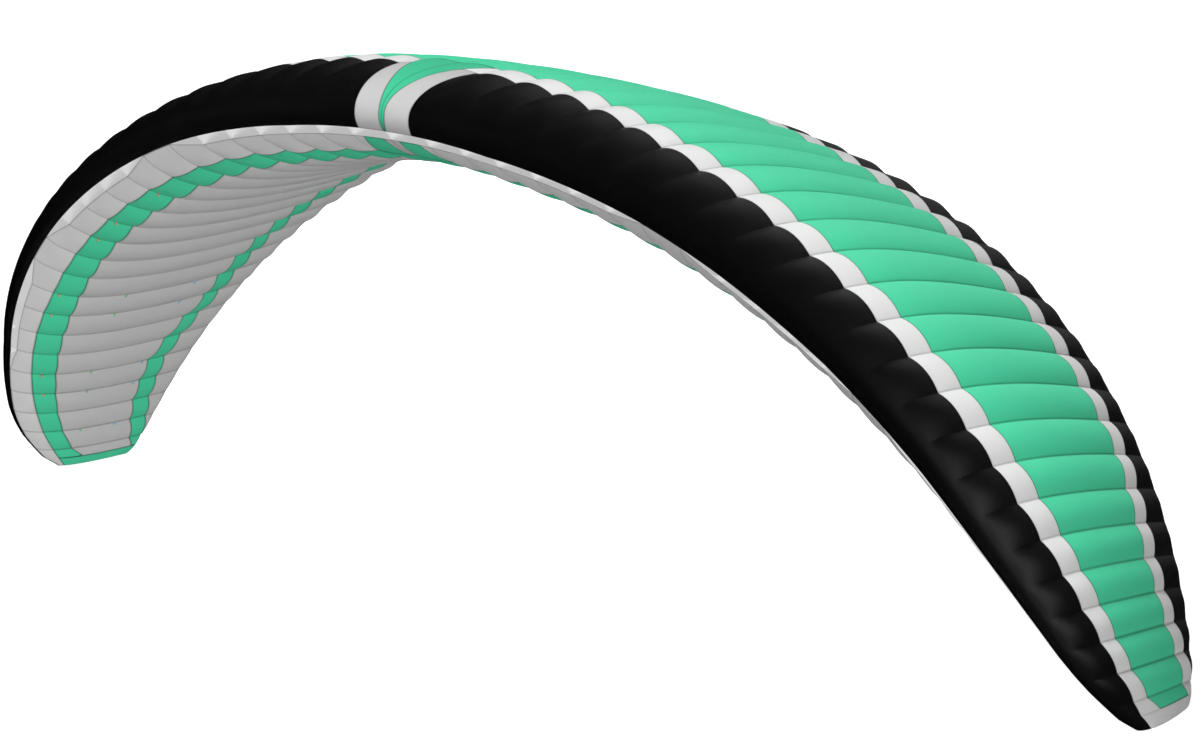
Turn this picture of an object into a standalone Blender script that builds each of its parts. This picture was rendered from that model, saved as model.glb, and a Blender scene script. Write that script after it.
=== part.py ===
"""Paraglider wing: an arched ram-air canopy of thin cloth panels on cloth ribs, standing on its two wing tips.

The wing is described on two numbers.  "Span" runs from -1 at one tip, through 0 at the middle seam,
to +1 at the other tip.  "Chord" runs round the section: +0.3 is 30 % back on the top cloth, -0.3 is
30 % back on the bottom cloth and 0 is the leading edge.  Every panel is a grid of such pairs, given
its thickness inwards along the section's own normal, so that neighbours keep one narrow seam gap.

X is the span, the nose points to -Y and Z is up.  The origin is under the middle of the wing.
"""
import math
from collections import namedtuple

import bmesh
import bpy
from mathutils import Vector

# ---- driving sizes, in metres and degrees ----
ROOT_CHORD = 2.45
TIP_CHORD = 0.525
CHORD_POWER = 3.6            # how late the plan form narrows
CHORD_ROUND = 0.87
SWEEP = (-0.05, 0.66, 0.39)  # run-back of the leading edge at the tip, from terms in span^2, ^4 and ^8
NOSE_SHIFT = (               # span, and how far the leading edge lies ahead of that plain line there
    (0.000, 0.000), (0.150, 0.000), (0.250, -0.015), (0.350, -0.032), (0.450, -0.040), (0.600, -0.046),
    (0.680, -0.038), (0.730, -0.030), (0.780, -0.015), (0.830, 0.000), (0.860, 0.020), (0.895, 0.050),
    (0.920, 0.075), (0.940, 0.085), (0.957, 0.085), (0.973, 0.072), (0.987, 0.058), (1.000, 0.000),
)
NOSE_LIFT = 1.3              # where the nose is drawn back, it rises by this times that ...
LIFT_CHORD = 0.25            # ... and the rise dies out over this chord
ARC = (48.4, 19.3, 11.0)     # slope of the arch at the tip, from terms in span, span^3 and span^5
PITCH = 8.2                  # nose-up angle of the section
TIP_TOE_IN = 3.4             # extra turn of the tip section
ROOT_THICKNESS = 0.25        # section thickness over chord
TIP_THICKNESS = 0.21

CELLS = 24                   # cells on each side of the middle seam
TIP_CELL = 0.16              # width of the outermost cell; each next one is wider by CELL_STEP
CELL_STEP = 0.01
WIDEST_CELL = 0.32
MIDDLE_CELL = 0.37           # the cell beside the middle seam
SAG = 0.12                   # height of a cell's swell over its width
PLAIN_CELLS = 15             # the narrow cells from the tip that are built without a ridge
MIDDLE_SWELL = (0.25, 0.5, 0.8)   # part of that height in the three cells nearest the middle
SWELL_TOP = 0.14             # on top the swell grows from the intake's lip to this chord ...
SWELL_BOTTOM = 0.28          # ... and below to this one
SWELL_END = 0.04             # chord over which it dies out at the trailing edge

CLOTH = 0.002                # thickness of a panel
RIB_CLOTH = 0.001
SEAM_GAP = 0.0003            # between neighbouring panels
RIB_GAP = 0.0005             # from a rib's rim to the panels round it
HEM = 0.009                  # the panels stop this far ahead of the section's sharp rear point
RIB_TAIL = 0.8               # a rib ends this far along the last panel

LIP_TOP = 0.013              # chord, on the bottom side, of the air intake's two lips
LIP_BOTTOM = 0.036
OPEN_SEAMS = ((6, 9), (12, 15), (18, 24))   # seams, from the tip, between which the intakes are open

# Cut lines of the coloured panels, in chord of the plain plan form, at places along the span.
Cut = namedtuple("Cut", "span nose_end white_end rear_start rear_end front_a front_b back_a back_b")
CUTS = (
    Cut(0.000, 0.171, 0.242, 0.800, 0.876, 0.112, 0.186, 0.780, 0.842),
    Cut(0.180, 0.176, 0.247, 0.802, 0.877, 0.117, 0.198, 0.779, 0.841),
    Cut(0.300, 0.168, 0.240, 0.806, 0.877, 0.108, 0.184, 0.777, 0.840),
    Cut(0.550, 0.169, 0.252, 0.816, 0.882, 0.117, 0.193, 0.771, 0.834),
    Cut(0.640, 0.169, 0.257, 0.818, 0.884, 0.118, 0.200, 0.783, 0.840),
    Cut(0.720, 0.168, 0.265, 0.820, 0.887, 0.120, 0.211, 0.786, 0.861),
    Cut(0.760, 0.167, 0.266, 0.811, 0.884, 0.113, 0.212, 0.803, 0.870),
    Cut(0.860, 0.155, 0.259, 0.720, 0.812, 0.092, 0.210, 0.720, 0.818),
    Cut(0.890, 0.141, 0.256, 0.722, 0.813, 0.083, 0.208, 0.727, 0.837),
    Cut(0.920, 0.126, 0.240, 0.724, 0.840, 0.074, 0.206, 0.735, 0.857),
    Cut(0.950, 0.104, 0.232, 0.767, 0.900, 0.062, 0.211, 0.777, 0.917),
    Cut(0.975, 0.086, 0.248, 0.812, 0.977, 0.061, 0.240, 0.845, 0.977),
    Cut(0.987, 0.062, 0.334, 0.890, 0.985, 0.061, 0.322, 0.915, 0.985),
    Cut(1.000, 0.120, 0.334, 0.890, 0.950, 0.061, 0.322, 0.915, 0.950),
)

# The pieces round the middle seam: half widths, in span, at the intake and at the seam behind it.
WEDGE_TIP = 0.0015           # the green wedge starts this wide at the lip ...
WEDGE_SLOPE = 0.19           # ... and widens by this much for each unit of chord
GREY_NOSE = (0.040, 0.055)
ARM_OUTER = (0.042, 0.057)
ARM_INNER = (0.012, 0.006)

NOSE_JOINS = (18, 21)        # seams from the tip where the black nose cloth is joined from three pieces
NOSE_ROW = 0.012             # extra rows inside the black nose, in chord ...
NOSE_PART = 0.4              # ... and as a part of its depth
MAIN_ROW = 0.52              # one more row in the wide panels
UNDER_ROW = 0.050
MAIN_UNDER_ROW = 0.45

# Line tabs: seams from the tip that carry a rib with tabs, and the tabs built on it.
LineRib = namedtuple("LineRib", "seam tab_rows")
LINE_RIBS = (
    LineRib(0, ""), LineRib(4, "ABC"), LineRib(8, "AB"), LineRib(12, "A"), LineRib(18, ""), LineRib(22, ""),
    LineRib(24, ""),
)
TAB_CHORD = {"A": 0.141, "B": 0.394, "C": 0.683}
TAB_RADIUS = 0.011
TAB_HOLE = 0.009
TAB_WIDTH = 0.012
TAB_DROP = 0.0004            # from the seam to the loop
TAB_SIDES = 8

Fabric = namedtuple("Fabric", "colour roughness")
FABRICS = {
    "green_cloth": Fabric((0.07, 0.56, 0.30), 0.55),
    "black_cloth": Fabric((0.008, 0.008, 0.009), 0.5),
    "white_cloth": Fabric((0.80, 0.79, 0.79), 0.55),
    "grey_cloth": Fabric((0.48, 0.48, 0.48), 0.6),
    "rib_cloth": Fabric((0.85, 0.85, 0.85), 0.65),
    "tab_webbing": Fabric((0.75, 0.22, 0.10), 0.7),
}


# ---- the wing's form ----
def cell_width(cell):
    """Width of a cell along the arch; cell 0 is at the tip."""
    if cell == CELLS - 1:
        return MIDDLE_CELL
    return min(TIP_CELL + CELL_STEP * cell, WIDEST_CELL)


HALF_SPAN = sum(cell_width(cell) for cell in range(CELLS))
SEAMS = [1.0 - sum(cell_width(c) for c in range(seam)) / HALF_SPAN for seam in range(CELLS)] + [0.0]
TIP_LINE = (SEAMS[0] + SEAMS[1]) / 2


def arc_slope(span):
    a, b, c = ARC
    return math.radians(a * span + b * span ** 3 + c * span ** 5)


def arc_point(span, steps=200):
    """Sideways and downward run of the arch from the middle seam."""
    x = z = 0.0
    for i in range(steps):
        slope = arc_slope(span * (i + 0.5) / steps)
        x += math.cos(slope) * span * HALF_SPAN / steps
        z -= math.sin(slope) * span * HALF_SPAN / steps
    return x, z


def sweep_at(span):
    a, b, c = SWEEP
    return a * span ** 2 + b * span ** 4 + c * span ** 8


def plain_chord(span):
    return TIP_CHORD + (ROOT_CHORD - TIP_CHORD) * (1 - span ** CHORD_POWER) ** CHORD_ROUND


def nose_shift(span):
    for (inner, start), (outer, end) in zip(NOSE_SHIFT, NOSE_SHIFT[1:]):
        if span <= outer:
            return start + (end - start) * (span - inner) / (outer - inner)
    return NOSE_SHIFT[-1][1]


def chord_at(span):
    return plain_chord(span) + nose_shift(span)


def moved(chord, span):
    """The chord, on the section with its nose moved, of a place given on the plain section."""
    return (chord * plain_chord(span) + nose_shift(span)) / chord_at(span)


def cut(name, span):
    """A cut line's chord at a place along the span, straight between the rows of CUTS."""
    span = abs(span)
    for inner, outer in zip(CUTS, CUTS[1:]):
        if span <= outer.span:
            part = (span - inner.span) / (outer.span - inner.span)
            return moved(getattr(inner, name) + part * (getattr(outer, name) - getattr(inner, name)), span)
    return getattr(CUTS[-1], name)


def hem(span):
    return 1.0 - HEM / chord_at(abs(span))


def section_point(root, span):
    """Section outline in metres; root is the signed square root of chord, so the nose stays smooth."""
    x = root * root
    thickness = (ROOT_THICKNESS + (TIP_THICKNESS - ROOT_THICKNESS) * span) * plain_chord(span)
    half = 5 * thickness * (0.2969 * abs(root) - 0.1260 * x - 0.3516 * x ** 2 + 0.2843 * x ** 3 - 0.1036 * x ** 4)
    lift = max(0.0, -nose_shift(span)) * NOSE_LIFT * max(0.0, 1 - x / LIFT_CHORD) ** 2
    return Vector((x * chord_at(span) - nose_shift(span), math.copysign(half, root) + lift))


class Station:
    """One section of the wing, at a seam or at the ridge in the middle of a cell."""

    def __init__(self, span, sag, side):
        slope = arc_slope(span)
        outboard = max(0.0, (span - SEAMS[1]) / (1.0 - SEAMS[1]))
        lean = slope + (math.radians(90) - arc_slope(1.0)) * outboard ** 2
        turn = math.radians(PITCH + TIP_TOE_IN * span ** 8)
        x, z = arc_point(span)
        self.span = span
        self.sag = sag
        self.hinge = Vector((side * x, sweep_at(span) + 0.25 * plain_chord(span), z))
        self.along = Vector((-side * math.sin(turn) * math.sin(lean), math.cos(turn),
                             -math.sin(turn) * math.cos(lean)))
        self.up = Vector((side * math.cos(turn) * math.sin(lean), math.sin(turn), math.cos(turn) * math.cos(lean)))

    def normal(self, chord):
        root = math.copysign(math.sqrt(abs(chord)), chord)
        run = section_point(root + 0.001, self.span) - section_point(root - 0.001, self.span)
        return (self.along * -run.y + self.up * run.x).normalized()

    def point(self, chord):
        flat = section_point(math.copysign(math.sqrt(abs(chord)), chord), self.span)
        place = self.hinge + self.along * (flat.x - 0.25 * plain_chord(self.span)) + self.up * flat.y
        rise = (abs(chord) - LIP_BOTTOM) / ((SWELL_TOP if chord > 0 else SWELL_BOTTOM) - LIP_BOTTOM)
        swell = max(0.0, min(1.0, rise, (1.0 - abs(chord)) / SWELL_END))
        return place + self.normal(chord) * self.sag * swell


def make_stations(side):
    rows = []
    for cell in range(CELLS):
        rows.append(Station(SEAMS[cell], 0.0, side))
        middle = (SEAMS[cell] + SEAMS[cell + 1]) / 2
        if cell == 0:
            rows.append(Station(TIP_LINE, 0.0, side))
        elif cell >= PLAIN_CELLS:
            from_middle = CELLS - 1 - cell
            part = MIDDLE_SWELL[from_middle] if from_middle < len(MIDDLE_SWELL) else 1.0
            rows.append(Station(middle, part * SAG * cell_width(cell), side))
    rows.append(Station(0.0, 0.0, side))
    return rows


STATIONS = {1: make_stations(1), -1: make_stations(-1)}


def skin(span, chord):
    """A point on the wing's outer surface and its normal; straight between stations."""
    row = STATIONS[1 if span >= 0 else -1]
    for outer, inner in zip(row, row[1:]):
        if abs(span) >= inner.span:
            part = (abs(span) - inner.span) / (outer.span - inner.span)
            place = inner.point(chord).lerp(outer.point(chord), part)
            return place, inner.normal(chord).lerp(outer.normal(chord), part).normalized()
    return row[-1].point(chord), row[-1].normal(chord)


def spans_between(low, high):
    """Every station's span from low to high, both ends included."""
    both = {side * station.span for side in (-1, 1) for station in STATIONS[side]}
    return [low] + sorted(s for s in both if low + 1e-6 < s < high - 1e-6) + [high]


def is_open(seam):
    return any(first <= seam <= last for first, last in OPEN_SEAMS)


def lip_bottom(span):
    """Chord of the intake's lower lip: on the upper lip where a cell is closed, a wedge where it starts."""
    span = abs(span)
    for seam in range(CELLS):
        if span >= SEAMS[seam + 1]:
            part = (SEAMS[seam] - span) / (SEAMS[seam] - SEAMS[seam + 1])
            opening = is_open(seam) + part * (is_open(seam + 1) - is_open(seam))
            return LIP_TOP + (LIP_BOTTOM - LIP_TOP) * opening
    return LIP_BOTTOM


# ---- making solids ----
def fabric_material(name):
    material = bpy.data.materials.new(name)
    material.use_nodes = True
    shader = material.node_tree.nodes["Principled BSDF"]
    shader.inputs["Base Color"].default_value = (*FABRICS[name].colour, 1.0)
    shader.inputs["Roughness"].default_value = FABRICS[name].roughness
    shader.inputs["Metallic"].default_value = 0.0
    return material


def add_object(name, mesh_maker, fabric):
    mesh = bpy.data.meshes.new(name)
    mesh_maker.normal_update()
    mesh_maker.to_mesh(mesh)
    mesh_maker.free()
    mesh.materials.append(MATERIALS[fabric])
    mesh.shade_smooth()
    mesh.set_sharp_from_angle(angle=math.radians(35))
    piece = bpy.data.objects.new(name, mesh)
    bpy.context.collection.objects.link(piece)
    return piece


def trimmed(places):
    """Draw the four borders of a grid of points in by half a seam gap."""
    def draw_in(line, beside):
        return [a + (b - a).normalized() * SEAM_GAP / 2 for a, b in zip(line, beside)]
    rows = [list(row) for row in places]
    rows[0], rows[-1] = draw_in(rows[0], rows[1]), draw_in(rows[-1], rows[-2])
    columns = [list(column) for column in zip(*rows)]
    columns[0], columns[-1] = draw_in(columns[0], columns[1]), draw_in(columns[-1], columns[-2])
    return [list(row) for row in zip(*columns)]


def cloth_panel(name, fabric, grid):
    """A closed sheet over a grid of (span, chord) pairs, its rows in rising chord."""
    skins = [[skin(*pair) for pair in row] for row in grid]
    outer = trimmed([[place for place, _ in row] for row in skins])
    maker = bmesh.new()
    top = [[maker.verts.new(place) for place in row] for row in outer]
    under = [[maker.verts.new(place - normal * CLOTH) for place, (_, normal) in zip(row, normals)]
             for row, normals in zip(outer, skins)]
    last_row, last_column = len(grid) - 1, len(grid[0]) - 1
    for r in range(last_row):
        for c in range(last_column):
            maker.faces.new((top[r][c], top[r][c + 1], top[r + 1][c + 1], top[r + 1][c]))
            maker.faces.new((under[r][c], under[r + 1][c], under[r + 1][c + 1], under[r][c + 1]))
    border = ([(0, c) for c in range(last_column)] + [(r, last_column) for r in range(last_row)]
              + [(last_row, c) for c in range(last_column, 0, -1)] + [(r, 0) for r in range(last_row, 0, -1)])
    for (r, c), (r2, c2) in zip(border, border[1:] + border[:1]):
        maker.faces.new((top[r][c], under[r][c], under[r2][c2], top[r2][c2]))
    return add_object(name, maker, fabric)


def line(name, sign=1):
    """A panel edge as a function that gives the chord along the span."""
    return lambda span: sign * cut(name, span)


def level(chord):
    return lambda span: chord


# ---- the top cloth ----
RIDGE = SEAMS[CELLS - 1] / 2     # span of the ridge in the cell beside the middle seam
NOSE_ROWS = (level(-LIP_TOP), level(0.0), level(NOSE_ROW), lambda span: NOSE_PART * cut("nose_end", span),
             line("nose_end"))


def side_panel(name, fabric, side, rows):
    """A panel on one side of the wing, its rows given from the tip towards the middle."""
    cloth_panel(name, fabric, [[(side * s, chord) for s, chord in (row if side < 0 else row[::-1])] for row in rows])


def towards_middle(start, end):
    """Every station's span from one further out to one further in."""
    return [-span for span in spans_between(-start, -end)]


def band(name, fabric, side, outer, inner, *rows):
    side_panel(name, fabric, side, [[(s, chord(s)) for s in towards_middle(outer, inner)] for chord in rows])


def wedge_edge(chord):
    """Half width of the green wedge, in span."""
    return WEDGE_TIP + WEDGE_SLOPE * (chord + LIP_TOP)


def grey_edge(chord):
    """Half width, in span, at which the middle's grey nose meets the black."""
    start, end = GREY_NOSE
    return start + (end - start) * max(0.0, chord) / cut("nose_end", 0.0)


def nose_panels(side, word):
    outer_join, inner_join = (SEAMS[seam] for seam in NOSE_JOINS)
    black, grey = [], []
    for chord in NOSE_ROWS:
        edge, wedge = grey_edge(chord(0.0)), wedge_edge(chord(0.0))
        black.append([(s, chord(s)) for s in towards_middle(inner_join, edge)])
        grey.append([(s, chord(s)) for s in (edge, max(RIDGE, (edge + wedge) / 2), wedge)])
    band("nose_outer_" + word, "black_cloth", side, 1.0, outer_join, *NOSE_ROWS)
    band("nose_centre_" + word, "black_cloth", side, outer_join, inner_join, *NOSE_ROWS)
    side_panel("nose_inner_" + word, "black_cloth", side, black)
    side_panel("nose_grey_" + word, "grey_cloth", side, grey)


def white_stripe(side, word):
    side_panel("front_white_" + word, "white_cloth", side,
               [[(s, chord(s)) for s in towards_middle(TIP_LINE, wedge_edge(chord(0.0)))]
                for chord in (line("nose_end"), line("white_end"))])


def middle_wedge():
    grid = []
    for chord in NOSE_ROWS + (line("white_end"),):
        edge = wedge_edge(chord(0.0))
        shoulder = min(RIDGE, 0.6 * edge)
        grid.append([(s, chord(s)) for s in (-edge, -shoulder, 0.0, shoulder, edge)])
    cloth_panel("middle_wedge", "green_cloth", grid)


def top_cloth():
    for side, word in ((-1, "left"), (1, "right")):
        nose_panels(side, word)
        white_stripe(side, word)
        band("tip_top_" + word, "white_cloth", side, 1.0, TIP_LINE,
             line("nose_end"), line("white_end"), level(MAIN_ROW), line("rear_start"), hem)
        band("main_green_" + word, "green_cloth", side, TIP_LINE, 0.0,
             line("white_end"), level(MAIN_ROW), line("rear_start"))
        band("rear_white_" + word, "white_cloth", side, TIP_LINE, 0.0, line("rear_start"), line("rear_end"))
        band("trailing_black_" + word, "black_cloth", side, SEAMS[1], 0.0, line("rear_end"), hem)
    middle_wedge()


# ---- the bottom cloth ----
def half_width(widths, chord):
    """Half width of a piece between the intake and the front stripe."""
    start, end = widths
    part = (chord - LIP_BOTTOM) / (cut("front_a", 0.0) - LIP_BOTTOM)
    return start + (end - start) * part


UNDER_ROWS = (line("front_a"), level(UNDER_ROW), lip_bottom)


def under_nose(side, word):
    under, arm = [], []
    for chord in UNDER_ROWS:
        outer, inner = half_width(ARM_OUTER, chord(0.0)), half_width(ARM_INNER, chord(0.0))
        under.append([(s, -chord(s)) for s in towards_middle(1.0, outer)])
        arm.append([(s, -chord(s)) for s in (outer, RIDGE, inner)])
    side_panel("under_nose_" + word, "grey_cloth", side, under)
    side_panel("under_arm_" + word, "green_cloth", side, arm)


def under_middle():
    grid = []
    for chord in UNDER_ROWS:
        inner = half_width(ARM_INNER, chord(0.0))
        grid.append([(s, -chord(s)) for s in (-inner, 0.0, inner)])
    cloth_panel("under_middle", "grey_cloth", grid)


def bottom_cloth():
    for side, word in ((-1, "left"), (1, "right")):
        under_nose(side, word)
        band("tip_under_" + word, "green_cloth", side, 1.0, TIP_LINE,
             lambda s: -hem(s), line("back_a", -1), level(-MAIN_UNDER_ROW), line("front_b", -1), line("front_a", -1))
        band("front_green_" + word, "green_cloth", side, TIP_LINE, 0.0, line("front_b", -1), line("front_a", -1))
        band("main_grey_" + word, "grey_cloth", side, TIP_LINE, 0.0,
             line("back_a", -1), level(-MAIN_UNDER_ROW), line("front_b", -1))
        band("rear_green_" + word, "green_cloth", side, TIP_LINE, 0.0, line("back_b", -1), line("back_a", -1))
        band("trailing_grey_" + word, "grey_cloth", side, SEAMS[1], 0.0, lambda s: -hem(s), line("back_b", -1))
    under_middle()


# ---- ribs and line tabs ----
def prism(name, fabric, low, high):
    """A closed solid between two outlines with the same number of points."""
    maker = bmesh.new()
    floor = [maker.verts.new(place) for place in low]
    roof = [maker.verts.new(place) for place in high]
    maker.faces.new(floor[::-1])
    maker.faces.new(roof)
    for i in range(len(floor)):
        j = (i + 1) % len(floor)
        maker.faces.new((floor[i], floor[j], roof[j], roof[i]))
    bmesh.ops.recalc_face_normals(maker, faces=maker.faces)
    return add_object(name, maker, fabric)


def rib_outline(span):
    """The section inside the cloth, from the bottom's tail round the nose to the top's tail."""
    front = () if lip_bottom(span) < LIP_BOTTOM else (-LIP_BOTTOM,)
    bottom = (-hem(span), -cut("back_b", span), -cut("back_a", span), -MAIN_UNDER_ROW, -cut("front_b", span),
              -cut("front_a", span), -UNDER_ROW) + front
    nose = tuple(chord(span) for chord in NOSE_ROWS)
    top = (cut("white_end", span), MAIN_ROW, cut("rear_start", span), cut("rear_end", span), hem(span))
    skins = [skin(span, chord) for chord in bottom + nose + top]
    places = [place - normal * (CLOTH + RIB_GAP) for place, normal in skins]
    places[0] = places[1].lerp(places[0], RIB_TAIL)
    places[-1] = places[-2].lerp(places[-1], RIB_TAIL)
    return places


def rib(side, seam, word):
    span = SEAMS[seam]
    station = next(s for s in STATIONS[side] if s.span == span)
    outwards = station.along.cross(station.up) * side
    outline = rib_outline(side * span)
    start, end = (-RIB_CLOTH, 0.0) if seam == 0 else (-RIB_CLOTH / 2, RIB_CLOTH / 2)
    prism(f"rib_{seam:02d}{word}", "rib_cloth", [p + outwards * start for p in outline],
          [p + outwards * end for p in outline])


def tab_seat(span, chord):
    """The seam's point at a tab, on the straight cloth between the rows on both sides of it."""
    rows = sorted((cut("front_a", span), cut("front_b", span), MAIN_UNDER_ROW, cut("back_a", span)))
    ahead = max(row for row in rows if row <= chord)
    behind = min(row for row in rows if row > chord)
    part = (chord - ahead) / (behind - ahead)
    place = skin(span, -ahead)[0].lerp(skin(span, -behind)[0], part)
    return place, skin(span, -chord)[1], (skin(span, -behind)[0] - skin(span, -ahead)[0]).normalized()


def line_tab(side, seam, row, word):
    """A webbing loop sewn into the bottom seam, its hole along the chord."""
    seat, outwards, along = tab_seat(side * SEAMS[seam], moved(TAB_CHORD[row], SEAMS[seam]))
    across = along.cross(outwards).normalized()
    drop = outwards - along * outwards.dot(along)
    drop.normalize()
    centre = seat + drop * (TAB_DROP + TAB_RADIUS)
    maker = bmesh.new()
    rings = []
    for radius, shift in ((TAB_RADIUS, -0.5), (TAB_RADIUS, 0.5), (TAB_HOLE, 0.5), (TAB_HOLE, -0.5)):
        angles = [math.tau * (i + 0.5) / TAB_SIDES for i in range(TAB_SIDES)]
        rings.append([maker.verts.new(centre + along * shift * TAB_WIDTH
                                      + (across * math.cos(a) + drop * math.sin(a)) * radius) for a in angles])
    for ring, following in zip(rings, rings[1:] + rings[:1]):
        for i in range(TAB_SIDES):
            j = (i + 1) % TAB_SIDES
            maker.faces.new((ring[i], ring[j], following[j], following[i]))
    bmesh.ops.recalc_face_normals(maker, faces=maker.faces)
    add_object(f"tab_{row.lower()}{seam:02d}{word}", maker, "tab_webbing")


def ribs_and_tabs():
    for line_rib in LINE_RIBS:
        sides = ((1, "_middle"),) if line_rib.seam == CELLS else ((-1, "_left"), (1, "_right"))
        for side, word in sides:
            rib(side, line_rib.seam, word)
            for row in line_rib.tab_rows:
                line_tab(side, line_rib.seam, row, word)


def stand_on_tips():
    """Move every mesh so that the tips stand on Z = 0 with the origin under the middle of the wing."""
    meshes = [piece.data for piece in bpy.data.objects]
    places = [vertex.co for mesh in meshes for vertex in mesh.vertices]
    low = [min(p[axis] for p in places) for axis in range(3)]
    high = [max(p[axis] for p in places) for axis in range(3)]
    shift = Vector((-(low[0] + high[0]) / 2, -(low[1] + high[1]) / 2, -low[2]))
    for mesh in meshes:
        for vertex in mesh.vertices:
            vertex.co = vertex.co + shift


for old in list(bpy.data.objects):
    bpy.data.objects.remove(old, do_unlink=True)
MATERIALS = {name: fabric_material(name) for name in FABRICS}
top_cloth()
bottom_cloth()
ribs_and_tabs()
stand_on_tips()
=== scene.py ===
import math

import bpy
import numpy as np
from mathutils import Matrix, Vector


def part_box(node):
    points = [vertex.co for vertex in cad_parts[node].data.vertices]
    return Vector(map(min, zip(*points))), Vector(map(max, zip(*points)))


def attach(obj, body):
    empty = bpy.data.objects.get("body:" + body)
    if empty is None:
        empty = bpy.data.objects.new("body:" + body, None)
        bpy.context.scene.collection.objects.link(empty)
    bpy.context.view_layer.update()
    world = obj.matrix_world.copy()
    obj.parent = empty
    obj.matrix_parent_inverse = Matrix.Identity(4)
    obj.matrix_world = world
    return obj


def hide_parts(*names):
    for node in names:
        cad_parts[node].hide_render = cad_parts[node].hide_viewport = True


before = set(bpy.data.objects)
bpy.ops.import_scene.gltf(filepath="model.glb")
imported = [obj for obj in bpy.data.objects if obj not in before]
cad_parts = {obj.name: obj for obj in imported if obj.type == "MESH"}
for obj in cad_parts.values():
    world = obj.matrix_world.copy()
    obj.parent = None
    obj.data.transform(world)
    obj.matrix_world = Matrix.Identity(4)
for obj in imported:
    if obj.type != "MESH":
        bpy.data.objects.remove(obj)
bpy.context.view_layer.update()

# ---- Studio ----
# A very wide white floor with a round white wall far off, and a soft, even surround. The key light stands
# high in front of the wing and the fill light beside the camera; two more lights only show as sheen on the
# cloth. The real wing hangs in free air, so floor and wall neither shade nor light it.
FLOOR_SIZE = 400.0
WALL_RADIUS = 180.0
WALL_HEIGHT = 300.0
WALL_SIDES = 128
FLOOR_DROP = 0.0005              # the floor lies just below the tip ribs that stand on it
STUDIO_GLOW = 0.97
MOTTLE_SCALE = 0.6
MOTTLE_DETAIL = 3.0
SURROUND_LOW = 0.22
SURROUND_HIGH = 0.12
SHEEN_WIDTH = 40.0
LIGHT_WIDTH = 30.0
VIEW_AZIMUTH = 49.993
VIEW_ELEVATION = 12.587
VIEW_ROLL = -3.253
VIEW_DISTANCE = 34.699
VIEW_TARGET = Vector((0.449, 0.0, 1.369))
VIEW_LENS = 170.74
VIEW_REACH = 1000.0


def add_node(tree, kind, *inputs, **settings):
    """A shader node: its settings by name, its inputs in order, each a value or a socket to link."""
    made = tree.nodes.new("ShaderNode" + kind)
    for name, value in settings.items():
        setattr(made, name, value)
    for socket, value in zip(made.inputs, inputs):
        if isinstance(value, bpy.types.NodeSocket):
            tree.links.new(value, socket)
        elif value is not None:
            socket.default_value = value
    return made.outputs[0]


def new_material(name, roughness, specular, glow=0.0):
    """A plain material, its tree and its shader; glow is the light it gives off by itself."""
    material = bpy.data.materials.new(name)
    material.use_nodes = True
    shader = material.node_tree.nodes["Principled BSDF"]
    shader.inputs["Roughness"].default_value = roughness
    shader.inputs["Specular IOR Level"].default_value = specular
    if glow:
        shader.inputs["Emission Color"].default_value = (1.0, 1.0, 1.0, 1.0)
        shader.inputs["Emission Strength"].default_value = glow
    return material, material.node_tree, shader


def paint(tree, shader, pattern, low, high):
    """A grey that runs from low, where the pattern is 0, to high, where it is 1."""
    shade = add_node(tree, "MapRange", pattern, 0.0, 1.0, low, high)
    tree.links.new(add_node(tree, "CombineColor", shade, shade, shade), shader.inputs["Base Color"])


def add_sun(name, towards, strength, softness):
    """A soft lamp far off in one direction."""
    light = bpy.data.lights.new(name, "SUN")
    light.energy = strength
    light.angle = math.radians(softness)
    lamp = bpy.data.objects.new(name, light)
    lamp.rotation_euler = Vector(towards).to_track_quat("Z", "Y").to_euler()
    bpy.context.collection.objects.link(lamp)
    return lamp


studio_paint, tree, shader = new_material("pale_studio_paint", roughness=0.9, specular=0.1,
                                          glow=STUDIO_GLOW)
mottle = add_node(tree, "TexNoise", None, None, MOTTLE_SCALE, MOTTLE_DETAIL)
mottle = add_node(tree, "MapRange", mottle, 0.3, 0.7)
paint(tree, shader, mottle, low=0.29, high=0.31)

bpy.ops.object.select_all(action="DESELECT")
bpy.ops.mesh.primitive_plane_add(size=FLOOR_SIZE, location=(0.0, 0.0, -FLOOR_DROP))
bpy.context.object.name = "studio_floor"
bpy.ops.mesh.primitive_cylinder_add(vertices=WALL_SIDES, radius=WALL_RADIUS, depth=WALL_HEIGHT,
                                    end_fill_type="NOTHING")
bpy.context.object.name = "studio_wall"
for name in ("studio_floor", "studio_wall"):
    backdrop = bpy.data.objects[name]
    backdrop.visible_diffuse = False
    backdrop.visible_glossy = False
    backdrop.visible_shadow = False
    backdrop.data.materials.append(studio_paint)

world = bpy.data.worlds.new("white_surround")
world.use_nodes = True
tree = world.node_tree
split = add_node(tree, "SeparateXYZ", add_node(tree, "TexCoord")).node
shade = add_node(tree, "MapRange", split.outputs["Z"], -1.0, 1.0, SURROUND_LOW, SURROUND_HIGH)
surround = add_node(tree, "CombineColor", shade, shade, shade)
tree.links.new(surround, tree.nodes["Background"].inputs["Color"])
world.cycles_visibility.glossy = False
bpy.context.scene.world = world
bpy.context.scene.view_settings.view_transform = "Standard"
add_sun("key_light", (-0.15, -0.38, 0.91), 4.5, LIGHT_WIDTH).visible_glossy = False
add_sun("camera_light", (0.755, -0.634, -0.174), 2.5, LIGHT_WIDTH).visible_glossy = False
add_sun("side_sheen", (0.88, -0.33, 0.34), 3.6, SHEEN_WIDTH).visible_diffuse = False
add_sun("back_sheen", (-0.33, 0.75, 0.57), 0.5, SHEEN_WIDTH).visible_diffuse = False

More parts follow.
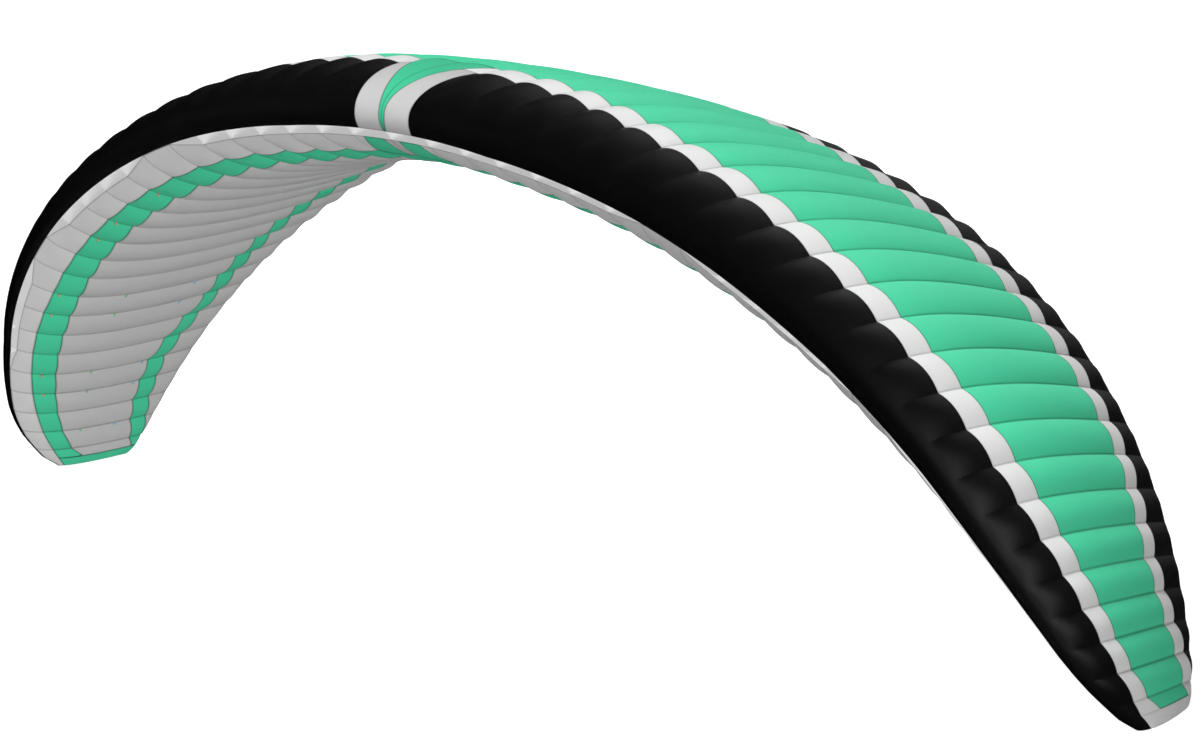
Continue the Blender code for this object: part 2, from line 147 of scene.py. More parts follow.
azimuth, elevation = math.radians(VIEW_AZIMUTH), math.radians(VIEW_ELEVATION)
back = Vector((math.sin(azimuth) * math.cos(elevation), -math.cos(azimuth) * math.cos(elevation),
               math.sin(elevation)))
camera = bpy.data.objects.new("camera", bpy.data.cameras.new("camera"))
camera.data.lens = VIEW_LENS
camera.data.clip_end = VIEW_REACH
camera.matrix_world = (Matrix.Translation(VIEW_TARGET + back * VIEW_DISTANCE)
                       @ back.to_track_quat("Z", "Y").to_matrix().to_4x4()
                       @ Matrix.Rotation(math.radians(VIEW_ROLL), 4, "Z"))
bpy.context.collection.objects.link(camera)
bpy.context.scene.camera = camera

# ---- Ribs ----
# Forty-nine ribs of stiff white cloth give the wing its section. Each is cut flat and stands on edge under
# a seam, between top and bottom cloth. The two tip ribs close the wing, which stands on them.
ROOT_CHORD = 2.45
TIP_CHORD = 0.525
CHORD_POWER = 3.6
CHORD_ROUND = 0.87
SWEEP = (-0.05, 0.66, 0.39)      # run-back of the leading edge, in span^2, ^4 and ^8
NOSE_SHIFT = np.array((          # span, and how far the leading edge lies ahead of that plain line there
    (0.000, 0.000), (0.150, 0.000), (0.250, -0.015), (0.350, -0.032), (0.450, -0.040), (0.600, -0.046),
    (0.680, -0.038), (0.730, -0.030), (0.780, -0.015), (0.830, 0.000), (0.860, 0.020), (0.895, 0.050),
    (0.920, 0.075), (0.940, 0.085), (0.957, 0.085), (0.973, 0.072), (0.987, 0.058), (1.000, 0.000),
))
NOSE_LIFT = 1.3                  # where the nose is drawn back, it rises by this times that ...
LIFT_CHORD = 0.25                # ... and the rise dies out over this chord
ARC = (48.4, 19.3, 11.0)         # slope of the arch in degrees, in span, span^3 and span^5
PITCH = 8.2
TIP_TOE_IN = 3.4
ROOT_THICKNESS = 0.25            # section thickness over chord
TIP_THICKNESS = 0.21
CELL_WIDTHS = [min(0.16 + 0.01 * cell, 0.32) for cell in range(23)] + [0.37]   # from the tip to the middle
HALF_SPAN = sum(CELL_WIDTHS)
SEAMS = np.append(1.0 - np.cumsum([0.0] + CELL_WIDTHS[:-1]) / HALF_SPAN, 0.0)
CELL_SAG = np.array([0.06] + [0.12] * 20 + [0.10, 0.065, 0.035])   # height of a cell's swell over its width
SWELL_TOP = 0.12                 # on top the swell grows from the intake's lip to this chord ...
SWELL_BOTTOM = 0.22              # ... and below to this one
SWELL_END = 0.04                 # chord over which it dies out at the trailing edge
MIDDLE_RIDGE = 1.45              # the two wide middle cells swell to a soft ridge; 2 is a round swell
HEM = 0.009                      # the cloth stops this far ahead of the section's sharp rear point
PINCH_START = 0.97               # from this chord back, top and bottom cloth close on the hem
SECTION = (0.2969, -0.1260, -0.3516, 0.2843, -0.1036)   # half thickness, in chord^0.5, chord, ^2, ^3 and ^4
HINGE_CHORD = 0.25               # the sections turn about the point at a quarter of the chord
LIP_TOP = 0.0145                 # chord, on the bottom side, of the intakes' two lips
LIP_BOTTOM = 0.035
OPEN_SEAMS = ((6, 9), (12, 15), (18, 24))
RIB_INSET = 0.0022               # gap from the outside of the cloth to the edge of a rib
RIB_THICKNESS = 0.0008
CLOTH_THICKNESS = 0.001
CREASE_ANGLE = 28.0
RIB_PAINTED_GLOW = 0.24                  # painted light: the ribs glow by themselves in place of daylight through the cloth
RIB_GRID_PITCH = 0.0025
RIB_GRID_THREAD = 0.0004
RIB_NOSE_ROOTS = (0.02, 0.30, 13)   # a rib's points: from, to and how many, in the square root of chord
RIB_REAR_ROOTS = (0.31, 24)      # and from where, and how many, up to this far ahead of the hem
RIB_REAR_GAP = 0.01
RIB_ROWS = 4
ROOT_STEP = 0.001                # step in the root of chord over which the section's slope is taken
ARCH_STEPS = 4000
SIDES = ((-1, "left"), (1, "right"))

steps = np.linspace(0.0, 1.0, ARCH_STEPS + 1)
slopes = np.radians(ARC[0] * steps + ARC[1] * steps ** 3 + ARC[2] * steps ** 5)
half_slopes = (slopes[1:] + slopes[:-1]) / 2
ARCH_X = np.append(0.0, np.cumsum(np.cos(half_slopes))) * HALF_SPAN / ARCH_STEPS
ARCH_Z = -np.append(0.0, np.cumsum(np.sin(half_slopes))) * HALF_SPAN / ARCH_STEPS


def plain_chord(span):
    """Chord in metres of the plain plan form, before its nose is moved."""
    return TIP_CHORD + (ROOT_CHORD - TIP_CHORD) * (1.0 - span ** CHORD_POWER) ** CHORD_ROUND


def nose_shift(span):
    """How far the leading edge lies ahead of the plain one, in metres."""
    return np.interp(span, NOSE_SHIFT[:, 0], NOSE_SHIFT[:, 1])


def chord_at(span):
    """Chord in metres."""
    return plain_chord(span) + nose_shift(span)


def moved(chord, span):
    """The chord, on the section with its nose moved, of a place given on the plain section."""
    return (chord * plain_chord(span) + nose_shift(span)) / chord_at(span)


def hem(span):
    """Chord at which the cloth ends at the trailing edge."""
    return 1.0 - HEM / chord_at(span)


def outline(root, span):
    """The section in metres; root is the signed square root of chord, so the nose stays round."""
    x = root * root
    thickness = ROOT_THICKNESS + (TIP_THICKNESS - ROOT_THICKNESS) * span
    powers = (np.abs(root), x, x ** 2, x ** 3, x ** 4)
    half = 5 * thickness * plain_chord(span) * sum(share * power for share, power in zip(SECTION, powers))
    pinch = np.clip((x - PINCH_START) / (hem(span) - PINCH_START), 0.0, 1.0)
    half = half * (1 - pinch) + CLOTH_THICKNESS * pinch
    lift = np.clip(-nose_shift(span), 0, None) * NOSE_LIFT * np.clip(1 - x / LIFT_CHORD, 0, None) ** 2
    return x * chord_at(span) - nose_shift(span), np.copysign(half, root) + lift


def swell(span, chord):
    """Height of the cloth above its straight line between two seams."""
    cell = np.clip(np.searchsorted(-SEAMS, -span, side="right") - 1, 0, len(CELL_WIDTHS) - 1)
    off_middle = np.abs(2 * (SEAMS[cell] - span) / (SEAMS[cell] - SEAMS[cell + 1]) - 1)
    power = np.where(cell == len(CELL_WIDTHS) - 1, MIDDLE_RIDGE, 2.0)
    height = CELL_SAG[cell] * np.array(CELL_WIDTHS)[cell] * (1 - off_middle ** power)
    start = np.where(chord > 0, LIP_TOP, LIP_BOTTOM)
    full = np.where(chord > 0, SWELL_TOP, SWELL_BOTTOM)
    rise = np.sin(np.clip((np.abs(chord) - start) / (full - start), 0, 1) * math.pi / 2)
    fall = np.sin(np.clip((1 - np.abs(chord)) / SWELL_END, 0, 1) * math.pi / 2)
    return height * np.minimum(rise, fall)


def skin(span, chord, inset=0.0):
    """Points on the wing's surface at signed spans and chords; a chord below zero is on the bottom side."""
    span, chord = np.broadcast_arrays(np.asarray(span, float), np.asarray(chord, float))
    side, place = np.where(span < 0, -1.0, 1.0), np.abs(span)
    root = np.copysign(np.sqrt(np.abs(chord)), chord)
    slope = np.radians(ARC[0] * place + ARC[1] * place ** 3 + ARC[2] * place ** 5)
    outboard = np.clip((place - SEAMS[1]) / (1 - SEAMS[1]), 0, None)
    lean = slope + (math.pi / 2 - math.radians(sum(ARC))) * outboard ** 2
    turn = np.radians(PITCH + TIP_TOE_IN * place ** 8)
    hinge = np.stack((side * np.interp(place, steps, ARCH_X),
                      SWEEP[0] * place ** 2 + SWEEP[1] * place ** 4 + SWEEP[2] * place ** 8
                      + HINGE_CHORD * plain_chord(place),
                      np.interp(place, steps, ARCH_Z)), -1)
    along = np.stack((-side * np.sin(turn) * np.sin(lean), np.cos(turn), -np.sin(turn) * np.cos(lean)), -1)
    up = np.stack((side * np.cos(turn) * np.sin(lean), np.sin(turn), np.cos(turn) * np.cos(lean)), -1)
    x, y = outline(root, place)
    ahead, behind = outline(root - ROOT_STEP, place), outline(root + ROOT_STEP, place)
    normal = along * (ahead[1] - behind[1])[..., None] + up * (behind[0] - ahead[0])[..., None]
    normal /= np.linalg.norm(normal, axis=-1, keepdims=True)
    flat = hinge + along * (x - HINGE_CHORD * plain_chord(place))[..., None] + up * y[..., None]
    return flat + normal * (swell(place, chord) - inset)[..., None]


SHIFT = np.array((0.0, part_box("middle_wedge")[0].y - skin(0.0, 0.0)[1], -ARCH_Z[-1]))


def is_open(seam):
    """True where the intake is open on both sides of a seam, or starts there."""
    return any(first <= seam <= last for first, last in OPEN_SEAMS)


def lip_bottom(span):
    """Chord of the lower lip: on the upper lip where a cell is closed, a wedge where a group starts."""
    opening = [float(is_open(seam)) for seam in range(len(SEAMS))]
    return LIP_TOP + (LIP_BOTTOM - LIP_TOP) * np.interp(-span, -SEAMS, opening)


def sheet_mesh(name, places, flat_map, thickness, materials):
    """A sheet over a grid of points, its cut size laid on the UV map, given its thickness inwards."""
    rows, columns = places.shape[:2]
    mesh = bpy.data.meshes.new(name)
    index = np.arange(rows * columns).reshape(rows, columns)
    faces = np.stack((index[:-1, :-1], index[:-1, 1:], index[1:, 1:], index[1:, :-1]), -1).reshape(-1, 4)
    mesh.from_pydata(places.reshape(-1, 3).tolist(), [], faces.tolist())
    flat = flat_map.reshape(-1, 2)[faces.reshape(-1)]
    mesh.uv_layers.new(name="Cut").data.foreach_set("uv", flat.astype(np.float32).ravel())
    for material in materials:
        mesh.materials.append(material)
    mesh.shade_smooth()
    piece = bpy.data.objects.new(name, mesh)
    bpy.context.collection.objects.link(piece)
    wall = piece.modifiers.new("wall", "SOLIDIFY")
    wall.thickness = thickness
    wall.offset = -1.0
    wall.material_offset = len(materials) - 1
    return piece


def finish_sheet(piece):
    """Apply the wall and keep its creases sharp."""
    bpy.ops.object.select_all(action="DESELECT")
    piece.select_set(True)
    bpy.context.view_layer.objects.active = piece
    bpy.ops.object.modifier_apply(modifier="wall")
    bpy.ops.object.shade_smooth_by_angle(angle=math.radians(CREASE_ANGLE))


def lengths(places, axis):
    """Distance run along one direction of a grid of points."""
    step = np.linalg.norm(np.diff(places, axis=axis), axis=-1)
    start = np.zeros_like(step.take([0], axis=axis))
    return np.concatenate((start, np.cumsum(step, axis=axis)), axis=axis)


def ripstop(tree, flat, pitch, thread):
    """1 on the thick threads that cross the cloth in small squares, 0 between them."""
    split = add_node(tree, "SeparateXYZ", flat).node
    lines = []
    for direction in split.outputs[:2]:
        wave = add_node(tree, "Math", direction, pitch, operation="PINGPONG")
        lines.append(add_node(tree, "MapRange", wave, thread / 2, thread, 1.0, 0.0))
    return add_node(tree, "Math", lines[0], lines[1], operation="MAXIMUM")


def emboss(tree, shader, height, strength, distance):
    """Raise the surface by up to this distance in metres, where height is 1."""
    bump = add_node(tree, "Bump", strength, distance, None, height)
    tree.links.new(bump, shader.inputs["Normal"])


# Painted light: the ribs glow by themselves, and their white is painted down to a grey so that faces the
# lamps reach don't stand out.
rib_cloth, tree, shader = new_material("rib_cloth", roughness=0.62, specular=0.1, glow=RIB_PAINTED_GLOW)
grid = ripstop(tree, add_node(tree, "UVMap", uv_map="Cut"), RIB_GRID_PITCH, RIB_GRID_THREAD)
paint(tree, shader, grid, low=0.46, high=0.43)
emboss(tree, shader, grid, strength=0.6, distance=0.0001)

for seam, span in enumerate(SEAMS):
    rear_end = math.sqrt(hem(span) - RIB_REAR_GAP)
    rear = np.linspace(RIB_REAR_ROOTS[0], rear_end, RIB_REAR_ROOTS[1])
    x = np.append(np.linspace(*RIB_NOSE_ROOTS), rear) ** 2
    for side, word in SIDES if span > 0 else ((1, "middle"),):
        top = skin(side * span, x, RIB_INSET)
        bottom = skin(side * span, -x, RIB_INSET)
        if is_open(seam):
            lips = skin(side * span, np.array((-LIP_TOP, -LIP_BOTTOM)), RIB_INSET)
            part = (x - LIP_TOP) / (LIP_BOTTOM - LIP_TOP)
            mouth = lips[0] + (lips[1] - lips[0]) * part[:, None]
            bottom = np.where(((part > 0) & (part < 1))[:, None], mouth, bottom)
        part = np.linspace(0.0, 1.0, RIB_ROWS)[:, None, None]
        places = bottom * (1 - part) + top * part + SHIFT
        if side < 0:
            places = places[:, ::-1]
        chord, height = lengths(places[1:2], 1), lengths(places, 0)
        flat_map = np.stack((chord + 0 * height, height), -1)
        piece = sheet_mesh(f"sewn_rib_{seam:02d}_{word}", places, flat_map, RIB_THICKNESS, [rib_cloth])
        piece.modifiers["wall"].offset = 0.0 if seam else -1.0
        finish_sheet(piece)
        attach(piece, "root")
        if f"rib_{seam:02d}_{word}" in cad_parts:
            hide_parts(f"rib_{seam:02d}_{word}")

# ---- Green cloth ----
# Thin coated nylon with a ripstop grid, cut cell by cell and sewn edge to edge. Green are the main panel of
# the top, the two stripes and the tip pieces of the bottom, and the pieces round the middle seam. The wedge
# on the middle seam carries painted shade: the same green, darkened all over so it shows less bright where
# it faces the lights.
GREEN = (0.072, 0.70, 0.39)
WEDGE_GREEN_PAINTED_SHADE = (0.050, 0.51, 0.28)
GRID_PITCH = 0.0028              # half the width of a ripstop square
GRID_THREAD = 0.0005
GRID_SHADE = 0.94
SEAM_WIDTH = (0.002, 0.010)      # the dark seam line and the painted crease shade beside it fade out between these distances from a seam
EDGE_WIDTH = (0.004, 0.008)      # and so does the shade along a cut edge
STITCH_LENGTH = 0.0018           # stitches run along every cut edge, in rows this far apart
STITCH_GAP = 0.0005
STITCH_ROW = 0.0035
STITCH_THREAD = 0.0005
STITCH_BAND = 0.011
STITCH_SHADE = 0.7
PUCKER_SCALE = (6.0, 45.0, 1.0)  # puckers are long across a seam and close together along it
RIPPLE_SCALE = 1.0
RIPPLE_DETAIL = 2.0
PUCKER_REACH = 0.06
PUCKER_HEIGHT = 1.2
GRID_HEIGHT = 1.05
INSIDE_PAINTED_GLOW = 0.44               # painted light: the cells' inside glows by itself in place of daylight through the cloth
CELL_COLUMNS = 12
CELL_TONES = (0.985, 1.0)        # no two cells are cut from quite the same cloth
TONE_COUNT = 60
TONE_SEED = 5
CUT_NAMES = ("span", "nose_end", "white_end", "rear_start", "rear_end",
             "front_a", "front_b", "back_a", "back_b")
CUTS = np.array((                # chord of each cut line on the plain section, at places along the span
    (0.000, 0.171, 0.242, 0.800, 0.876, 0.112, 0.186, 0.780, 0.842),
    (0.180, 0.176, 0.247, 0.802, 0.877, 0.117, 0.198, 0.779, 0.841),
    (0.300, 0.168, 0.240, 0.806, 0.877, 0.108, 0.184, 0.777, 0.840),
    (0.550, 0.169, 0.252, 0.816, 0.882, 0.117, 0.193, 0.771, 0.834),
    (0.640, 0.169, 0.257, 0.818, 0.884, 0.118, 0.200, 0.783, 0.840),
    (0.720, 0.168, 0.265, 0.820, 0.887, 0.120, 0.211, 0.786, 0.861),
    (0.760, 0.167, 0.266, 0.811, 0.884, 0.113, 0.212, 0.803, 0.870),
    (0.860, 0.155, 0.259, 0.720, 0.812, 0.092, 0.210, 0.720, 0.818),
    (0.890, 0.141, 0.256, 0.722, 0.813, 0.083, 0.208, 0.727, 0.837),
    (0.920, 0.126, 0.240, 0.724, 0.840, 0.074, 0.206, 0.735, 0.857),
    (0.950, 0.104, 0.232, 0.767, 0.900, 0.062, 0.211, 0.777, 0.917),
    (0.975, 0.086, 0.248, 0.812, 0.977, 0.061, 0.240, 0.845, 0.977),
    (0.987, 0.062, 0.334, 0.890, 0.985, 0.061, 0.322, 0.915, 0.985),
    (1.000, 0.120, 0.334, 0.890, 0.985, 0.061, 0.322, 0.915, 0.985),
))
TIP_LINE = (SEAMS[0] + SEAMS[1]) / 2   # the tip pieces meet the panels along the middle of the last cell
WEDGE_TIP = 0.0015
WEDGE_SLOPE = 0.19
ARM_OUTER = (0.042, 0.057)       # span of the green arms' two sides, at the intake and at the front stripe
ARM_INNER = (0.012, 0.006)


def cut(name, sign=1):
    """A cut line as a function that gives the signed chord along the span."""
    line = CUTS[:, CUT_NAMES.index(name)]
    return lambda span: sign * moved(np.interp(np.abs(span), CUTS[:, 0], line), np.abs(span))


def top_lip(span):
    """The line where all cloth of the top starts: the intake's upper lip."""
    return -LIP_TOP + 0 * span


def wedge_edge(chord):
    """Half width of the green wedge in the nose, in span."""
    return WEDGE_TIP + WEDGE_SLOPE * (chord + LIP_TOP)


def half_width(widths):
    """Half width of a piece round the middle seam, between the intake and the front stripe."""
    depth = cut("front_a")(0.0) - LIP_BOTTOM
    return lambda chord: widths[0] + (widths[1] - widths[0]) * (-chord - LIP_BOTTOM) / depth


def dye(tree, shader, colour, shade):
    """One colour, darker or lighter where shade says so."""
    tint = add_node(tree, "VectorMath", colour, operation="SCALE").node
    tree.links.new(shade, tint.inputs["Scale"])
    tree.links.new(tint.outputs[0], shader.inputs["Base Color"])


def cloth_material(name, colour, roughness, specular, seam_line_and_crease_shade, edge_shade):
    """Coated ripstop: woven squares, seam lines with painted crease shade, stitch rows and small puckers
    where it is sewn.
    """
    material, tree, shader = new_material(name, roughness, specular)
    flat = add_node(tree, "UVMap", uv_map="Cut")
    grid = ripstop(tree, flat, GRID_PITCH, GRID_THREAD)
    seam, edge, tone = (add_node(tree, "Attribute", attribute_name=attribute).node.outputs["Fac"]
                        for attribute in ("from_seam", "from_edge", "cell_tone"))
    along = add_node(tree, "SeparateXYZ", flat)
    dash = add_node(tree, "Math", along, STITCH_LENGTH, operation="PINGPONG")
    dash = add_node(tree, "Math", dash, STITCH_GAP, operation="GREATER_THAN")
    row = add_node(tree, "Math", edge, STITCH_ROW, operation="PINGPONG")
    row = add_node(tree, "Math", row, STITCH_ROW - STITCH_THREAD, operation="GREATER_THAN")
    near = add_node(tree, "Math", edge, STITCH_BAND, operation="LESS_THAN")
    stitch = add_node(tree, "Math", dash, row, operation="MULTIPLY")
    stitch = add_node(tree, "Math", stitch, near, operation="MULTIPLY")
    shade = add_node(tree, "MapRange", grid, 0.0, 1.0, 1.0, GRID_SHADE)
    # Painted shade along each seam: partly the seam's own dark line, partly the shade of the crease between
    # two swelling cells.
    for factor in (add_node(tree, "MapRange", seam, *SEAM_WIDTH, seam_line_and_crease_shade, 1.0),
                   add_node(tree, "MapRange", edge, *EDGE_WIDTH, edge_shade, 1.0), tone,
                   add_node(tree, "MapRange", stitch, 0.0, 1.0, 1.0, STITCH_SHADE)):
        shade = add_node(tree, "Math", shade, factor, operation="MULTIPLY")
    dye(tree, shader, colour, shade)
    stretch = add_node(tree, "Mapping", flat)
    stretch.node.inputs["Scale"].default_value = PUCKER_SCALE
    ripple = add_node(tree, "TexNoise", stretch, None, RIPPLE_SCALE, RIPPLE_DETAIL)
    pull = add_node(tree, "MapRange", seam, 0.0, PUCKER_REACH, 1.0, 0.0)
    pucker = add_node(tree, "Math", ripple, pull, operation="MULTIPLY")
    weave = add_node(tree, "Math", grid, GRID_HEIGHT, operation="MULTIPLY")
    height = add_node(tree, "Math", pucker, PUCKER_HEIGHT, weave, operation="MULTIPLY_ADD")
    emboss(tree, shader, height, strength=1.0, distance=0.001)
    return material


def coated_inside():
    """The pale coated inner face of every piece of cloth: painted light, a low grey that glows by itself in
    place of daylight through the cloth.
    """
    material, tree, shader = new_material("coated_inside", roughness=0.7, specular=0.1, glow=INSIDE_PAINTED_GLOW)
    grid = ripstop(tree, add_node(tree, "UVMap", uv_map="Cut"), GRID_PITCH, GRID_THREAD)
    paint(tree, shader, grid, low=0.38, high=0.35)
    return material


def between(start, end, part):
    """Chords from start to end, in even steps of their signed square root, so they crowd at the nose."""
    root = (np.copysign(np.sqrt(np.abs(start)), start) * (1 - part)
            + np.copysign(np.sqrt(np.abs(end)), end) * part)
    return np.copysign(root * root, root)


def sew(name, material, borders, lower, upper, rows, cut_sides=(False, False), nodes=None):
    """A sheet of cloth between two cut lines, swelling between its seams.

    Borders are signed spans, or functions of chord, in order along the wing; rows rise in signed chord.
    A side is cut where the sheet is sewn to another beside it, and not at a seam of the same cloth.
    """
    part = np.linspace(0.0, 1.0, rows + 1)[:, None]
    at_middle = between(lower(0.0), upper(0.0), part)
    across = (1 - np.cos(np.linspace(0.0, math.pi, CELL_COLUMNS + 1))) / 2
    columns = []
    for first, last in zip(borders, borders[1:]):
        first, last = (b(at_middle) if callable(b) else np.full_like(at_middle, b) for b in (first, last))
        columns.append(first + (last - first) * across[1 if columns else 0:])
    span = np.concatenate(columns, axis=1)
    places = skin(span, between(lower(np.abs(span)), upper(np.abs(span)), part)) + SHIFT
    if span[0, -1] < span[0, 0]:
        places, span = places[:, ::-1], span[:, ::-1]
        cut_sides = cut_sides[::-1]
    run, sideways = lengths(places, 0), lengths(places, 1)
    flat_map = np.stack((span * HALF_SPAN, run), -1)
    piece = sheet_mesh("cloth_" + name, places, flat_map, CLOTH_THICKNESS, [material, INSIDE])

    seam_gap = np.abs(np.abs(span)[..., None] - SEAMS).min(-1) * HALF_SPAN
    edge_gap = np.minimum(run, run[-1] - run)
    if cut_sides[0]:
        edge_gap = np.minimum(edge_gap, sideways)
    if cut_sides[1]:
        edge_gap = np.minimum(edge_gap, sideways[:, -1:] - sideways)
    middle = (span[:-1, 1:] + span[:-1, :-1]) / 2
    cell = np.searchsorted(-SEAMS, -np.abs(middle)) + np.where(middle < 0, TONE_COUNT // 2, 0)
    tones = np.random.default_rng(TONE_SEED).uniform(*CELL_TONES, TONE_COUNT)[cell]
    for attribute, place, values in (("from_seam", "POINT", seam_gap), ("from_edge", "POINT", edge_gap),
                                     ("cell_tone", "FACE", tones)):
        data = piece.data.attributes.new(attribute, "FLOAT", place).data
        data.foreach_set("value", values.astype(np.float32).ravel())
    finish_sheet(piece)
    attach(piece, "root")
    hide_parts(*(nodes or [name]))


INSIDE = coated_inside()
green_cloth = cloth_material("green_cloth", GREEN, roughness=0.5, specular=0.28,
                             seam_line_and_crease_shade=0.62, edge_shade=0.28)
for side, word in SIDES:
    whole = [side * TIP_LINE, *(side * SEAMS[1:])]
    sew("main_green_" + word, green_cloth, whole,
        cut("white_end"), cut("rear_start"), rows=26, cut_sides=(True, False))
    sew("front_green_" + word, green_cloth, whole,
        cut("front_b", -1), cut("front_a", -1), rows=8, cut_sides=(True, False))
    sew("rear_green_" + word, green_cloth, whole,
        cut("back_b", -1), cut("back_a", -1), rows=8, cut_sides=(True, False))
    sew("tip_under_" + word, green_cloth, [side, side * TIP_LINE],
        lambda span: -hem(span), cut("front_a", -1), rows=36, cut_sides=(False, True))
    outer, inner = half_width(ARM_OUTER), half_width(ARM_INNER)
    sew("under_arm_" + word, green_cloth,
        [lambda chord: side * outer(chord), lambda chord: side * inner(chord)],
        cut("front_a", -1), lambda span: -lip_bottom(span), rows=14, cut_sides=(True, True))
# Painted shade: the wedge is the main green darkened all over, so it shows less bright where it faces the
# lights.
wedge_cloth_painted_shade = cloth_material("wedge_green_cloth_painted_shade", WEDGE_GREEN_PAINTED_SHADE, roughness=0.5, specular=0.28,
                             seam_line_and_crease_shade=0.6, edge_shade=0.28)
sew("middle_wedge", wedge_cloth_painted_shade,
    [lambda chord: -wedge_edge(chord), 0.0, wedge_edge],
    top_lip, cut("white_end"), rows=30, cut_sides=(True, True))

# ---- Black cloth ----
# The same cloth in black with a satin coating: the nose from the intakes back over the leading edge, and
# the panel at the trailing edge. It takes a soft highlight on every cell.
BLACK = (0.0003, 0.0003, 0.00032)
GREY_NOSE = (0.040, 0.055)       # span at which the black nose ends, at the chord 0 and at its rear edge


def grey_edge(chord):
    """Half width, in span, at which the middle's grey nose meets the black."""
    return GREY_NOSE[0] + (GREY_NOSE[1] - GREY_NOSE[0]) * np.clip(chord, 0, None) / cut("nose_end")(0.0)


black_cloth = cloth_material("black_cloth", BLACK, roughness=0.5, specular=0.2,
                             seam_line_and_crease_shade=0.8, edge_shade=0.8)
for side, word in SIDES:
    sew("nose_black_" + word, black_cloth,
        [*(side * SEAMS[:-1]), lambda chord: side * grey_edge(chord)],
        top_lip, cut("nose_end"), rows=30, cut_sides=(False, True),
        nodes=[f"nose_{part}_{word}" for part in ("centre", "inner", "outer")])
    sew("trailing_black_" + word, black_cloth, list(side * SEAMS[1:]),
        cut("rear_end"), hem, rows=12)

# ---- White cloth ----
# White ripstop, sewn like the rest: the stripe behind the black nose, the stripe ahead of the black
# trailing panel, and the pieces that run round the two tips.
WHITE = (0.80, 0.80, 0.80)
white_cloth = cloth_material("white_cloth", WHITE, roughness=0.42, specular=0.9,
                             seam_line_and_crease_shade=0.75, edge_shade=0.85)
for side, word in SIDES:
    sew("front_white_" + word, white_cloth,
        [side * TIP_LINE, *(side * SEAMS[1:-1]), lambda chord: side * wedge_edge(chord)],
        cut("nose_end"), cut("white_end"), rows=8, cut_sides=(True, True))
    sew("rear_white_" + word, white_cloth, [side * TIP_LINE, *(side * SEAMS[1:])],
        cut("rear_start"), cut("rear_end"), rows=8, cut_sides=(True, False))
    sew("tip_top_" + word, white_cloth, [side, side * TIP_LINE],
        cut("nose_end"), hem, rows=36, cut_sides=(False, True))

# ---- Grey cloth ----
# Light grey ripstop, sewn like the rest: two nose pieces beside the middle wedge, and most of the bottom
# from the intakes to the trailing edge.
NOSE_GREY = (0.49, 0.49, 0.49)
UNDER_GREY = (0.60, 0.60, 0.60)
LIP_GREY = (0.72, 0.72, 0.72)
NARROWEST = 0.001                # narrowest strip, in span, outside the seam nearest the middle
nose_grey = cloth_material("grey_nose_cloth", NOSE_GREY, roughness=0.5, specular=0.18,
                           seam_line_and_crease_shade=0.55, edge_shade=0.6)
under_grey = cloth_material("grey_bottom_cloth", UNDER_GREY, roughness=0.5, specular=0.18,
                            seam_line_and_crease_shade=0.6, edge_shade=0.6)
lip_grey = cloth_material("pale_lip_cloth", LIP_GREY, roughness=0.5, specular=0.18,
                          seam_line_and_crease_shade=0.7, edge_shade=0.6)
for side, word in SIDES:
    sew("nose_grey_" + word, nose_grey,
        [lambda chord: side * grey_edge(chord),
         lambda chord: side * np.minimum(SEAMS[-2], grey_edge(chord) - NARROWEST),
         lambda chord: side * wedge_edge(chord)],
        top_lip, cut("nose_end"), rows=30, cut_sides=(True, True))
    outer = half_width(ARM_OUTER)
    sew("under_nose_" + word, lip_grey,
        [*(side * SEAMS[:-1]), lambda chord: side * outer(chord)],
        cut("front_a", -1), lambda span: -lip_bottom(span), rows=14, cut_sides=(False, True))
    sew("main_grey_" + word, under_grey, [side * TIP_LINE, *(side * SEAMS[1:])],
        cut("back_a", -1), cut("front_b", -1), rows=22, cut_sides=(True, False))
    sew("trailing_grey_" + word, under_grey, list(side * SEAMS[1:]),
        lambda span: -hem(span), cut("back_b", -1), rows=12)
inner = half_width(ARM_INNER)
sew("under_middle", under_grey, [lambda chord: -inner(chord), 0.0, inner],
    cut("front_a", -1), lambda span: -lip_bottom(span), rows=14, cut_sides=(True, True))

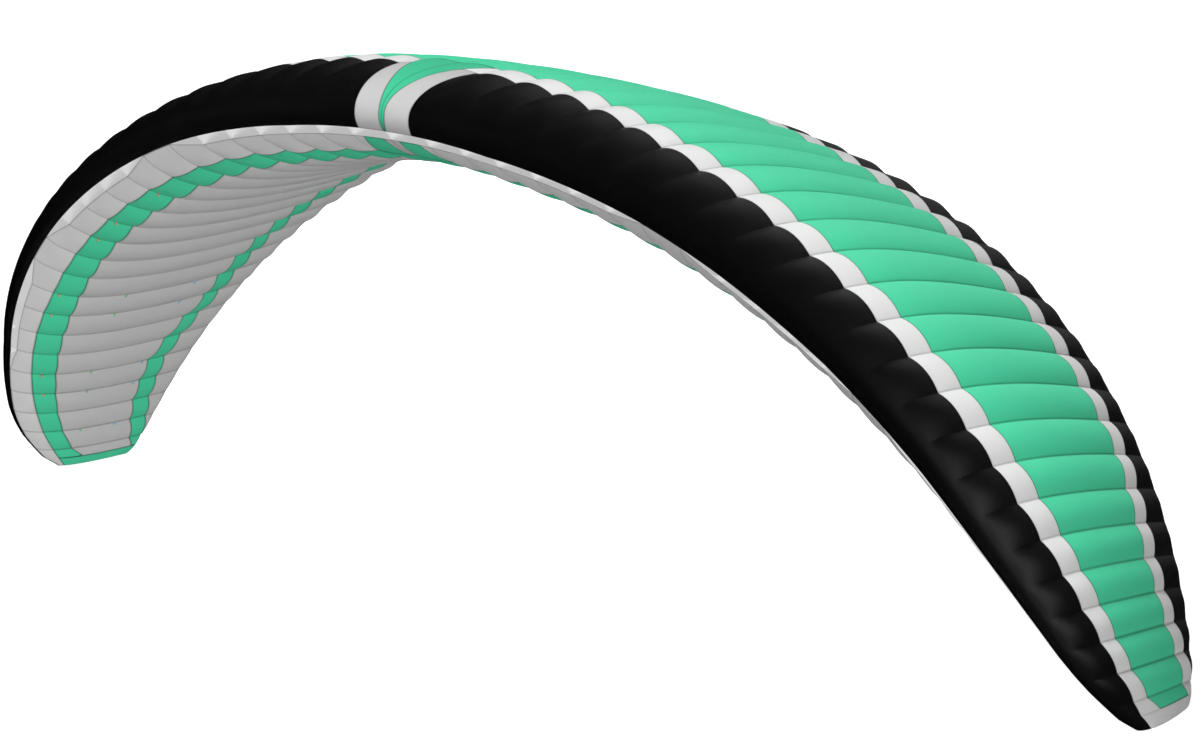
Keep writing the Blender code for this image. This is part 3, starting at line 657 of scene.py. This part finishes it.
# ---- Line tabs ----
# Loops of narrow webbing sewn into the bottom seams, where the suspension lines would hang: orange in the
# front row, green in the second and light blue in the third. Each is one strap folded round, with its two
# ends sewn in side by side.
TAB_WIDTH = 0.010
TAB_HEIGHT = 0.0215
TAB_ROUND = 0.009
TAB_OPENING = 152.0              # the loop bends round by this angle on either side of its lowest point
TAB_THICKNESS = 0.0012
TAB_ENDS = ((-0.0008, -0.002), (-0.0009, 0.001))
WEAVE_SCALE = 700.0
WEAVE_SHADE = 0.7
TAB_PROBE = 0.01                 # chord ahead and behind over which the direction of the seam is taken
TAB_ROWS = (                     # for each row, the seams that have a tab and the chord where it is sewn
    ("a", "tab_orange", (0.70, 0.36, 0.25),
     {4: 0.141, 5: 0.141, 8: 0.141, 9: 0.141, 12: 0.141, 13: 0.141, 15: 0.141}),
    ("b", "tab_green", (0.34, 0.66, 0.40), {2: 0.35, 4: 0.394, 5: 0.394, 8: 0.394, 9: 0.394}),
    ("c", "tab_blue", (0.34, 0.62, 0.70), {2: 0.64, 4: 0.683, 5: 0.683, 8: 0.683, 9: 0.683}),
)
turns = np.radians(np.linspace(-TAB_OPENING, TAB_OPENING, 25))
loop = np.stack((np.sin(turns) * TAB_ROUND, TAB_HEIGHT - TAB_ROUND + np.cos(turns) * TAB_ROUND), -1)
loop = np.concatenate((TAB_ENDS, loop, [(-across, down) for across, down in TAB_ENDS[::-1]]))


def place_tab(span, chord):
    """The loop's points, sewn in at one place: square to the cloth and open fore and aft."""
    seat, ahead, behind, beside = (skin(s, -c) + SHIFT for s, c in (
        (span, chord), (span, chord - TAB_PROBE), (span, chord + TAB_PROBE), (span * 0.999, chord)))
    along = Vector(behind - ahead).normalized()
    across = Vector(beside - seat).normalized()
    down = across.cross(along).normalized()
    down = -down if down.z > 0 else down
    across = along.cross(down)
    points = [Vector(seat) + across * a + down * b for a, b in loop]
    edges = (-TAB_WIDTH / 2, TAB_WIDTH / 2)
    return np.array([[point + along * edge for point in points] for edge in edges])


for row, slot, colour, seats in TAB_ROWS:
    webbing, tree, shader = new_material(slot + "_webbing", roughness=0.75, specular=0.3)
    flat = add_node(tree, "UVMap", uv_map="Cut")
    weave = add_node(tree, "TexWave", flat, WEAVE_SCALE, 0.0, wave_type="BANDS", bands_direction="DIAGONAL")
    weave = weave.node.outputs["Fac"]
    dye(tree, shader, colour, add_node(tree, "MapRange", weave, 0.0, 1.0, WEAVE_SHADE, 1.0))
    emboss(tree, shader, weave, strength=0.5, distance=0.0002)
    for seam, chord in seats.items():
        for side, word in SIDES:
            places = place_tab(side * SEAMS[seam], moved(chord, SEAMS[seam]))
            run = lengths(places, 1)
            flat_map = np.stack((run, np.array([[0.0], [TAB_WIDTH]]) + 0 * run), -1)
            piece = sheet_mesh(f"loop_{row}{seam:02d}_{word}", places, flat_map, TAB_THICKNESS, [webbing])
            finish_sheet(piece)
            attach(piece, "root")
            if f"tab_{row}{seam:02d}_{word}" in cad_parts:
                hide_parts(f"tab_{row}{seam:02d}_{word}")
